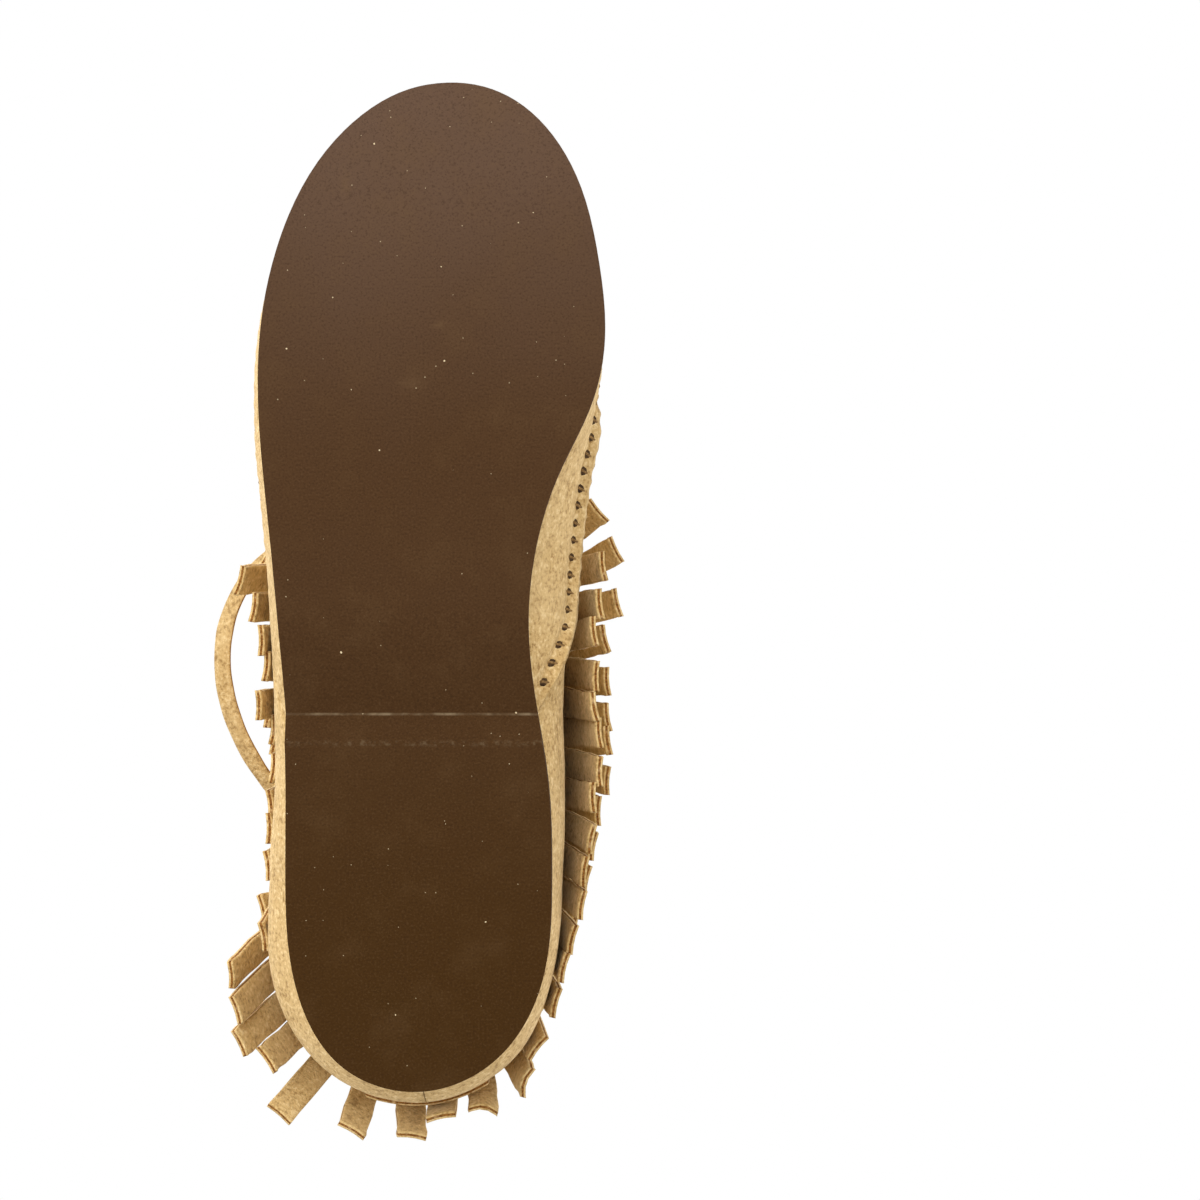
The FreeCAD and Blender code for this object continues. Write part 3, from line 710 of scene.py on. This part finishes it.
def makeLower():
    def wallRelief(place, height, share):
        away = wallTop(place) - height
        pleat = seamLook["pleat"] * (pleatWave(place) - 0.3) * math.exp(-away / (4.2 * mm))
        return pleat * fade(place) * (1 - 0.75 * arch(place)) + edgeLift(place, away)

    places = spread(-7.8, 9.2, 0.036)
    grids = panelGrids(places, seatAt, wallTop, 0.0, seamLook["wallThick"], 26, wallRelief)
    wall = sheetPiece("vampWall", [grids], [upperSuede, coreSuede])
    finishPiece(wall, ["vamp_wall"])

    def plugRelief(place, height, share):
        away = height - form["seam"]
        pleat = seamLook["pleat"] * 1.3 * (pleatWave(place) - 0.35) * math.exp(-away / seamLook["pleatFade"])
        step = seamLook["lapStep"]
        under = easing((height - jointLine(place) + step) / step) * plugLap(place)
        pleat *= fade(place) * (1 - 0.5 * arch(place))
        return pleat + edgeLift(place, away) * 0.9 - seamLook["lapUnder"] * under

    def plugReach(place):
        return plugTop(place) + seamLook["lap"] * plugLap(place)

    places = spread(-6.3, 7.5, 0.036)
    grids = panelGrids(places, lambda place: form["seam"] - 0.6 * mm, plugReach, 0.0, form["suede"], 32,
                       plugRelief)
    plug = sheetPiece("plugSuede", [grids], [upperSuede, coreSuede])
    finishPiece(plug, ["plug"])

    def wallSkin(place, away):
        height = wallTop(place) - away
        return skin(place, height, wallRelief(place, height, 0))

    bars, slotShades = [], []
    for place in stitchPlaces:
        if arch(place) > 0.45:          # the stitches show as bars across dark pieces painted as the shade in their holes, in the crease
            crease = seamLook["archCrease"]
            middle = wallSkin(place, crease)
            lean = (wallSkin(place, 1.6 * mm) - wallSkin(place, 3.0 * mm)).normalized()
            ahead = (wallSkin(place + 0.05, crease) - wallSkin(place - 0.05, crease)).normalized()
            face = ahead.cross(lean).normalized()
            across = (lean + ahead * 0.2).normalized()
            bars.append((middle + face * 0.22 * mm, across, face, *seamLook["archBar"]))
            slotShades.append((middle, lean, face, *seamLook["archHoleShade"]))
        else:                           # the stitches climb over the tucked edges
            height = wallTop(place) - 1.7 * mm
            middle, ahead, above, outward = seamFrame(place, height, -0.75 * mm)
            lean = (above + ahead * 0.16).normalized()
            face = (outward - lean * outward.dot(lean)).normalized()
            long, wide = seamLook["stitchLong"], seamLook["stitchWide"]
            bars.append((middle, lean, face, long + 1.4 * mm, wide, seamLook["stitchThick"]))
            slotShades.append((middle - face * 0.35 * mm, lean, face, long + 0.9 * mm, seamLook["slot"], 0.9 * mm))
    finishPiece(barPiece("whipStitches", bars, shadedStitchSuede), ["whip_stitches"])
    # dark pieces in the stitch holes: painted shade, not openings
    finishPiece(barPiece("seamSlotShade", slotShades, holeShade))
    print("seam laced,", len(stitchPlaces), "stitches")


makeLower()


# the quarters, tongue, stay and counter

upperLook = {"fold": 0.5 * mm, "rows": 30, "step": 0.1}
tongueLook = {
    "reach": 2.8, "under": 9 * mm, "above": 10 * mm, "round": 3.2 * mm, "in": 2.6 * mm, "thick": 1.8 * mm,
}
counterLook = {"low": 7.5 * mm, "top": 56 * mm, "in": 2.4 * mm, "thick": 1.2 * mm}
stayLook = {
    "reach": 0.62, "foot": 21 * mm, "belowBand": 9 * mm, "out": 1.9 * mm, "thick": 1.5 * mm,
    "threadAt": 0.5, "threadPitch": 4.2 * mm, "thread": (2.9 * mm, 0.7 * mm, 0.6 * mm),
}


def makeUpper():
    def creases(place, height, share):
        here = formPoint(place, height)
        soft = upperLook["fold"] * 1.4 * wobble(Vector((here.x, here.y, here.z * 2.2)), 26, 8.0)
        laced = edgeLift(place, height - quarterFoot(place)) * arch(place) * easing((place - 7.2) / 0.4)
        return soft * math.sin(math.pi * min(max(share, 0.0), 1.0)) ** 0.5 + laced

    def collarTop(place):
        return form["collar"]

    for name, node, first, last in (("quarterInner", "quarter_inner", 2.0, 13.995),
                                    ("quarterOuter", "quarter_outer", 14.005, 24.0)):
        grids = panelGrids(spread(first, last, upperLook["step"]), quarterFoot, collarTop, 0.0, form["suede"],
                           upperLook["rows"], creases)
        piece = sheetPiece(name, [grids], [upperSuede, coreSuede])
        finishPiece(piece, [node])

    def tongueShape(place, height, share):
        return 0.7 * mm * wobble(formPoint(place, height), 45, 2.0) * share

    def tongueTop(place):
        rounding = tongueLook["round"] * (abs(place) / tongueLook["reach"]) ** 3
        return form["collar"] + tongueLook["above"] - rounding

    grids = panelGrids(spread(-tongueLook["reach"], tongueLook["reach"], 0.1),
                       lambda place: form["throat"] - tongueLook["under"], tongueTop, -tongueLook["in"],
                       tongueLook["thick"], 26, tongueShape)
    tongue = sheetPiece("tongueSuede", [grids], [upperSuede, coreSuede])
    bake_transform(tongue)
    finishPiece(tongue, ["tongue"], body=None)

    grids = panelGrids(spread(10.4, 17.6, 0.15), lambda place: seatAt(place) + counterLook["low"],
                       lambda place: counterLook["top"] - 3 * mm * (abs(place - heel) / 3.6) ** 4,
                       -counterLook["in"], counterLook["thick"], 12)
    counter = sheetPiece("heelCounter", [grids], [insideSuede, coreSuede])
    finishPiece(counter, ["heel_counter"])

    stayTop = form["lowerBand"] - stayLook["belowBand"]
    grids = panelGrids(spread(heel - stayLook["reach"], heel + stayLook["reach"], 0.1),
                       lambda place: seatAt(place) + stayLook["foot"], lambda place: stayTop,
                       stayLook["out"], stayLook["thick"], 24)
    stay = sheetPiece("backStay", [grids], [upperSuede, coreSuede], 1)
    finishPiece(stay, ["back_stay"])
    bars = []
    for side in (-1, 1):
        height = seatAt(heel) + stayLook["foot"] + 3 * mm
        while height < stayTop - 2.4 * mm:
            middle, ahead, above, outward = seamFrame(heel + side * stayLook["threadAt"], height, 2.0 * mm)
            bars.append((middle, above, outward, *stayLook["thread"]))
            height += stayLook["threadPitch"]
    threads = barPiece("stayThreads", bars, threadWax)
    finishPiece(threads, ["stay_threads"])
    print("upper closed")


makeUpper()


# the bands and their fringe: each strip hangs from its band and droops a little

fringeLook = {
    "long": 44 * mm, "wide": 7.9 * mm, "thick": 1.75 * mm, "pitch": 8.6 * mm, "rootGap": 1.6 * mm,
    "bandIn": 0.4 * mm, "bandThick": 1.9 * mm, "droop": 7.0, "sideways": 3.2, "twist": 7.0,
    "ends": {"lower": (5.2, 21.4), "upper": (2.25, 23.75)},
    "innerFront": 31 * mm, "sideBack": 81 * mm,
}
bandOut = fringeLook["bandIn"] + fringeLook["bandThick"]
# how far each layer stands off the upper, in degrees: place, lower, upper
flareRows = [
    (2.0, 24.0, 44.0), (5.0, 22.0, 40.0), (6.5, 18.0, 26.0), (8.0, 15.0, 20.0), (11.3, 11.0, 12.0),
    (11.8, 4.0, 8.0), (12.2, 12.0, 8.0), (12.6, 13.0, 8.0), (13.0, 18.0, 8.0), (13.4, 10.0, 8.0),
    (13.9, 6.0, 8.0), (14.3, 17.0, 10.0), (14.7, 22.0, 14.0), (15.1, 35.0, 24.0), (15.5, 27.0, 28.0),
    (15.9, 33.0, 26.0), (16.3, 30.0, 22.0), (16.6, 28.0, 18.0), (17.0, 12.0, 10.0), (17.3, 4.0, 8.0),
    (19.3, 4.0, 8.0), (20.1, 14.0, 20.0), (20.7, 20.0, 26.0), (24.0, 28.0, 36.0),
]
lowerStrips = []          # the lower layer's centre lines, which the upper layer lies over


def flare(place, column):
    for before, after in zip(flareRows, flareRows[1:]):
        if place <= after[0]:
            share = (place - before[0]) / (after[0] - before[0])
            return before[column] + (after[column] - before[column]) * share
    return flareRows[-1][column]


def sway(number, phase):
    return math.sin(number * 2.39 + phase) * 0.6 + math.sin(number * 5.13 + phase * 2) * 0.4


def backing(place, root, outward, overLower):     # the least way out for a strip's back, going down
    sideways = Vector((-outward.y, outward.x, 0))
    halfWidth, clearance = fringeLook["wide"] / 2 + 0.4 * mm, fringeLook["thick"] / 2 + 0.45 * mm
    rows = []
    for step in range(13):
        height = root.z - 4 * mm * step
        least = -1.0
        for nudge in range(-16, 17, 2):
            near = place + nudge * 0.05
            behind = formPoint(near, max(height, 8 * mm))
            if abs((behind - root).dot(sideways)) > halfWidth:
                continue
            behind = behind + outward * (0 if height < form["lowerBand"] or not overLower else bandOut)
            if abs(near - heel) < 0.74 and 30 * mm < height < form["lowerBand"] - 8.6 * mm:
                behind = behind + outward * 2.6 * mm
            least = max(least, (behind - root).dot(outward) + clearance)
        if overLower:
            for line in lowerStrips:
                for point in line:
                    beside = abs((point - root).dot(sideways)) < fringeLook["wide"]
                    if beside and abs(point.z - height) < 3.5 * mm:
                        least = max(least, (point - root).dot(outward) + clearance + fringeLook["thick"] / 2)
        rows.append((height, least))
    return rows


def backingAt(rows, height):
    for (high, first), (low, second) in zip(rows, rows[1:]):
        if height >= low:
            share = min(max((high - height) / (high - low), 0.0), 1.0)
            return first + (second - first) * easing(share)
    return rows[-1][1]


def zone(place, root):
    if place < heel and root.y < fringeLook["innerFront"]:
        return "inner_front"
    if place < heel and root.y < fringeLook["sideBack"]:
        return "inner_side"
    if place > heel and root.y < fringeLook["sideBack"]:
        return "outer_side"
    return "heel"


def stripGrids(place, root, outward, number, column, change):
    sideways = Vector((-outward.y, outward.x, 0))
    long = fringeLook["long"] * change.get("long", 1 + 0.04 * sway(number, column + 3))
    long += fringeLook["rootGap"] + 1.2 * mm
    lean = change.get("lean", flare(place, column) + 2.0 * sway(number, column))
    droop = fringeLook["droop"] * (0.8 + 0.6 * sway(number, column + 7)) * min(lean / 22, 1.3)
    aside = fringeLook["sideways"] * sway(number, column + 5) + change.get("aside", 0.0)
    twist = fringeLook["twist"] * sway(number, column + 9) + change.get("twist", 0.0)
    rows = backing(place, root, outward, column == 2)
    shares = [0, 0.04, 0.1, 0.18, 0.28, 0.38, 0.48, 0.58, 0.68, 0.78, 0.88, 0.95, 0.99, 1.0]
    point = root + Vector((0, 0, fringeLook["rootGap"] + 1.2 * mm))
    line = [point]
    for previous, share in zip(shares, shares[1:]):
        bend = math.radians(lean + droop * (1 - 2 * share)) * min(share * 7, 1.0)
        down = outward * math.sin(bend) - Vector((0, 0, math.cos(bend)))
        down = (down + sideways * math.tan(math.radians(aside)) * min(share * 3, 1.0)).normalized()
        step = (share - previous) * long
        ahead = point + down * step
        if share > 0.06:
            short = backingAt(rows, ahead.z) - (ahead - root).dot(outward)
            ahead = ahead + outward * max(short, 0.0)
        point = point + (ahead - point).normalized() * step
        line.append(point)
    outer, inner = [], []
    for index, (share, point) in enumerate(zip(shares, line)):
        down = (line[min(index + 1, len(line) - 1)] - line[max(index - 1, 0)]).normalized()
        turn = math.radians(twist * share ** 1.5)
        side = outward.cross(down).normalized() if index else -sideways
        face = down.cross(side).normalized()
        cosine, sine = math.cos(turn), math.sin(turn)
        side, face = side * cosine + face * sine, face * cosine - side * sine
        ragged = 0.12 * mm * math.sin(number * 3.1 + index * 1.9) + 0.1 * mm * math.sin(number + index * 4.3)
        half = fringeLook["wide"] / 2 + ragged
        rough = 0.18 * mm * wobble(point, 300, number)
        cup = change.get("cup", 0.4) * mm * share
        row = []
        for x in (-1, -0.88, -0.3, 0.3, 0.88, 1):
            torn = down * rough * (1 + x) if share > 0.94 else Vector()
            row.append(point + side * half * x + face * cup * x * x + torn)
        thick = fringeLook["thick"] * (1 + 0.12 * wobble(point, 200, number + 5))
        outer.append([p + face * thick * 0.5 for p in row])
        inner.append([p - face * thick * 0.5 for p in row])
    return outer, inner, line


# strips that hang their own way: lean off the upper, aside and twist in degrees, cup in millimetres
stripChanges = {
    "lower": {
        9: {"aside": -2.6}, 10: {"aside": 1.3, "twist": -4.9}, 11: {"lean": 10},
        13: {"lean": 10, "twist": 14}, 14: {"lean": 12}, 15: {"lean": 17, "twist": 25, "cup": 1.2},
        16: {"lean": 15, "twist": -35, "cup": 1.4}, 17: {"lean": 4}, 18: {"lean": 22, "aside": -5},
        19: {"lean": 27, "aside": -7}, 20: {"lean": 36}, 21: {"lean": 26}, 22: {"lean": 31, "aside": -8},
        23: {"lean": 27, "aside": -9}, 24: {"lean": 28, "aside": -16}, 25: {"lean": 8, "aside": -15},
        31: {"lean": 10}, 32: {"lean": 8}, 33: {"lean": 9}, 34: {"lean": 15}, 35: {"lean": 22, "aside": -9},
    },
    "upper": {
        11: {"aside": -3.1}, 12: {"aside": 1.5, "twist": -6.5}, 14: {"lean": 5}, 24: {"lean": 6},
        25: {"lean": 5}, 31: {"lean": 10}, 32: {"lean": 13}, 33: {"lean": 21},
    },
}
for shorter in range(26, 31):       # their tips stay behind the sole
    stripChanges["lower"][shorter] = {"long": 0.8}


def makeFringe():
    layers = (("lower", form["lowerBand"]), ("upper", form["upperBand"]))
    for column, (layer, foot) in enumerate(layers, start=1):
        first, last = fringeLook["ends"][layer]
        top = foot + form["bandHeight"]

        def bandEdge(place, height, share):
            return 0.25 * mm * math.sin(math.pi * share)

        grids = panelGrids(spread(first, last, 0.1), lambda place: foot, lambda place: top, bandOut,
                           fringeLook["bandThick"], 6, bandEdge)
        band = sheetPiece("fringeBand" + layer.capitalize(), [grids], [fringeSuede, coreSuede])
        finishPiece(band, ["fringe_band_" + layer])
        groups = {}
        for number, place in enumerate(paced(first + 0.15, last - 0.15, foot, fringeLook["pitch"], bandOut)):
            root = skin(place, foot - fringeLook["rootGap"], bandOut - fringeLook["bandThick"] / 2)
            ahead = skin(place + 0.05, foot, 0) - skin(place - 0.05, foot, 0)
            ahead = Vector((ahead.x, ahead.y, 0)).normalized()
            outward = Vector((ahead.y, -ahead.x, 0))
            change = stripChanges[layer].get(number, {})
            outer, inner, line = stripGrids(place, root, outward, number, column, change)
            if layer == "lower":
                lowerStrips.append(line)
            groups.setdefault(zone(place, root), []).append((outer, inner))
        for group, strips in groups.items():
            words = "".join(word.capitalize() for word in group.split("_"))
            piece = sheetPiece("fringe" + layer.capitalize() + words, strips, [fringeSuede, coreSuede])
            if group == "inner_side":
                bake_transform(piece)
                finishPiece(piece, [f"fringe_{layer}_{group}"], body=None)
            else:
                finishPiece(piece, [f"fringe_{layer}_{group}"])
    print("fringe hung")


makeFringe()


# the casing, the thong's held runs and its knot

casingLook = {
    "first": 9.2, "last": 17.6, "low": 98.75 * mm, "high": 107.75 * mm, "rise": 2.4 * mm, "wall": 1.2 * mm,
    "threadPitch": 4.0 * mm, "casingOut": 1.75 * mm, "bandRowOut": 0.2 * mm,
}
# rows of stitches: first and last place, height, and how far out of the band
threadRows = [
    (9.3, 17.5, 99.6, "casingOut"), (9.3, 17.5, 106.9, "casingOut"), (5.3, 21.3, 76.6, "bandRowOut"),
    (5.3, 21.3, 72.2, "bandRowOut"), (2.4, 9.0, 106.2, "bandRowOut"), (17.8, 23.6, 106.2, "bandRowOut"),
]


def makeCasing():
    def domed(place, height):
        share = (height - casingLook["low"]) / (casingLook["high"] - casingLook["low"])
        dome = casingLook["rise"] * math.sin(math.pi * share) ** 0.7
        return bandOut + 0.15 * mm + casingLook["wall"] + dome

    grids = panelGrids(spread(casingLook["first"], casingLook["last"], 0.08), lambda place: casingLook["low"],
                       lambda place: casingLook["high"], domed, casingLook["wall"], 12)
    casing = sheetPiece("collarCasing", [grids], [upperSuede, coreSuede])
    finishPiece(casing, ["collar_casing"])
    for name, node, first, last in (("thongHeelRun", "thong_heel_run", 9.2, 17.6),
                                    ("thongInnerRun", "thong_inner_run", 1.0, 9.18)):
        grids = panelGrids(spread(first, last, 0.12), lambda place: 100.75 * mm, lambda place: 105.75 * mm,
                           4.4 * mm, 1.6 * mm, 4)
        finishPiece(sheetPiece(name, [grids], [thongSuede, coreSuede]), [node])
    turns = []
    for step in range(61):
        angle = step / 60 * 2 * math.pi
        x = (math.sin(angle) + 2 * math.sin(2 * angle)) / 3 * 4.6
        z = (math.cos(angle) - 2 * math.cos(2 * angle)) / 3 * 3.0
        turns.append(Vector(thong["knot"]) * mm + Vector((x, -math.sin(3 * angle) * 1.5, z)) * mm)
    grids = ribbon(turns, lambda share: Vector((0.1, -1, 0.25)), 3.6 * mm, 1.6 * mm, 9.0)
    knot = sheetPiece("thongKnot", [grids], [thongSuede, coreSuede], 1)
    finishPiece(knot, ["thong_knot"])
    bars = []
    for first, last, height, out in threadRows:
        bars += stitchRow(first, last, height * mm, bandOut + casingLook[out], casingLook["threadPitch"])
    rows = barPiece("bandThreads", bars, threadWax)
    finishPiece(rows)
    print("casing and knot made")


makeCasing()


# the footbed and the sole unit

bedLook = {"inset": 5.0 * mm, "low": 5.24 * mm, "fall": 0.35 * mm, "softness": 0.12 * mm}


def makeFootbed():
    places = [index * count / 156 for index in range(156)]
    rings = []
    for inset, toSpine, lift in ((0.3, 0, 0), (0.0, 0, 0.5), (0.0, 0, 2.9), (0.35, 0, 3.6), (1.3, 0, 3.9),
                                 (1.3, 0.2, 4.0), (1.3, 0.5, 4.05), (1.3, 0.8, 4.1)):
        ring = []
        for place in places:
            across, along = station(place)[:2]
            edge = Vector((across, along, 0)) - soleNormal(place) * (bedLook["inset"] + inset * mm)
            spine = Vector((2 * mm, min(max(edge.y, -0.088), 0.092), 0))
            point = edge.lerp(spine, toSpine)
            raised = lift * mm - (bedLook["fall"] * toSpine if 0.2 < toSpine else 0)
            soft = bedLook["softness"] * wobble(point, 70, 4.0) if lift > 3 else 0
            point.z = ground(point.y) + bedLook["low"] + raised + soft
            ring.append(point)
        rings.append(ring)
    points = [point for ring in rings for point in ring]
    size = len(places)
    faces = []
    for layer in range(len(rings) - 1):
        for step in range(size):
            following = (step + 1) % size
            faces.append((layer * size + step, layer * size + following,
                          (layer + 1) * size + following, (layer + 1) * size + step))
    faces.append(tuple(range(size)))
    last = (len(rings) - 1) * size
    faces.append(tuple(last + step for step in range(size)))
    bed = weld("footbedPad", points, faces, [0] * len(faces), [insideSuede])
    finishPiece(bed, ["footbed"])
    for node, material in (("outsole", soleRubber), ("heel_lift", liftRubber), ("insole_board", boardFibre)):
        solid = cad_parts[node]
        solid.data.materials.clear()
        solid.data.materials.append(material)
    print("sole unit finished")


makeFootbed()


# plain pale floor, seen from above only, and soft studio light

studio = {
    "floor": (0.30, 0.298, 0.294, 1), "floorGlow": 0.66, "floorSize": 9.0, "ambient": 0.78,
    "lamps": [((-0.35, -0.8, -1.0), 0.9, 12.0), ((0.75, -0.25, -0.85), 0.8, 4.0),
              ((-0.95, -0.1, -0.7), 0.7, 6.0), ((-0.6, -0.7, 1.2), 0.9, 20.0), ((0.9, 0.5, 1.0), 0.9, 10.0)],
}


def makeStudio():
    floorMaterial = bpy.data.materials.new("floor")
    floorMaterial.use_nodes = True
    tree = floorMaterial.node_tree
    shader = tree.nodes["Principled BSDF"]
    shader.inputs["Base Color"].default_value = studio["floor"]
    shader.inputs["Roughness"].default_value = 0.9
    shader.inputs["Emission Color"].default_value = (1, 1, 1, 1)
    shader.inputs["Emission Strength"].default_value = studio["floorGlow"]
    clear = tree.nodes.new("ShaderNodeBsdfTransparent")
    face = tree.nodes.new("ShaderNodeNewGeometry")
    mixer = tree.nodes.new("ShaderNodeMixShader")
    tree.links.new(face.outputs["Backfacing"], mixer.inputs[0])
    tree.links.new(shader.outputs[0], mixer.inputs[1])
    tree.links.new(clear.outputs[0], mixer.inputs[2])
    tree.links.new(mixer.outputs[0], tree.nodes["Material Output"].inputs["Surface"])
    half = studio["floorSize"] / 2
    corners = [(-half, -half, -0.0002), (half, -half, -0.0002), (half, half, -0.0002), (-half, half, -0.0002)]
    mesh = bpy.data.meshes.new("floor")
    mesh.from_pydata(corners, [], [(0, 1, 2, 3)])
    mesh.materials.append(floorMaterial)
    floor = bpy.data.objects.new("floor", mesh)
    bpy.context.collection.objects.link(floor)
    floor.visible_diffuse = floor.visible_glossy = floor.visible_shadow = floor.visible_transmission = False
    world = bpy.data.worlds.new("studio")
    bpy.context.scene.world = world
    world.use_nodes = True
    tree = world.node_tree
    ambient = tree.nodes["Background"]
    ambient.inputs["Color"].default_value = (1, 0.985, 0.96, 1)
    ambient.inputs["Strength"].default_value = studio["ambient"]
    white = tree.nodes.new("ShaderNodeBackground")
    white.inputs["Color"].default_value = (1, 1, 1, 1)
    white.inputs["Strength"].default_value = 1.0
    path = tree.nodes.new("ShaderNodeLightPath")
    mixer = tree.nodes.new("ShaderNodeMixShader")
    tree.links.new(path.outputs["Is Camera Ray"], mixer.inputs[0])
    tree.links.new(ambient.outputs[0], mixer.inputs[1])
    tree.links.new(white.outputs[0], mixer.inputs[2])
    tree.links.new(mixer.outputs[0], tree.nodes["World Output"].inputs["Surface"])
    for number, (where, size, power) in enumerate(studio["lamps"]):
        lamp = bpy.data.lights.new(f"softbox{number}", "AREA")
        lamp.shape = "SQUARE"
        lamp.size = size
        lamp.energy = power
        holder = bpy.data.objects.new(f"softbox{number}", lamp)
        holder.location = where
        holder.rotation_euler = (Vector((0, 0, 0.04)) - Vector(where)).to_track_quat("-Z", "Y").to_euler()
        bpy.context.collection.objects.link(holder)
    print("studio lit")


makeStudio()
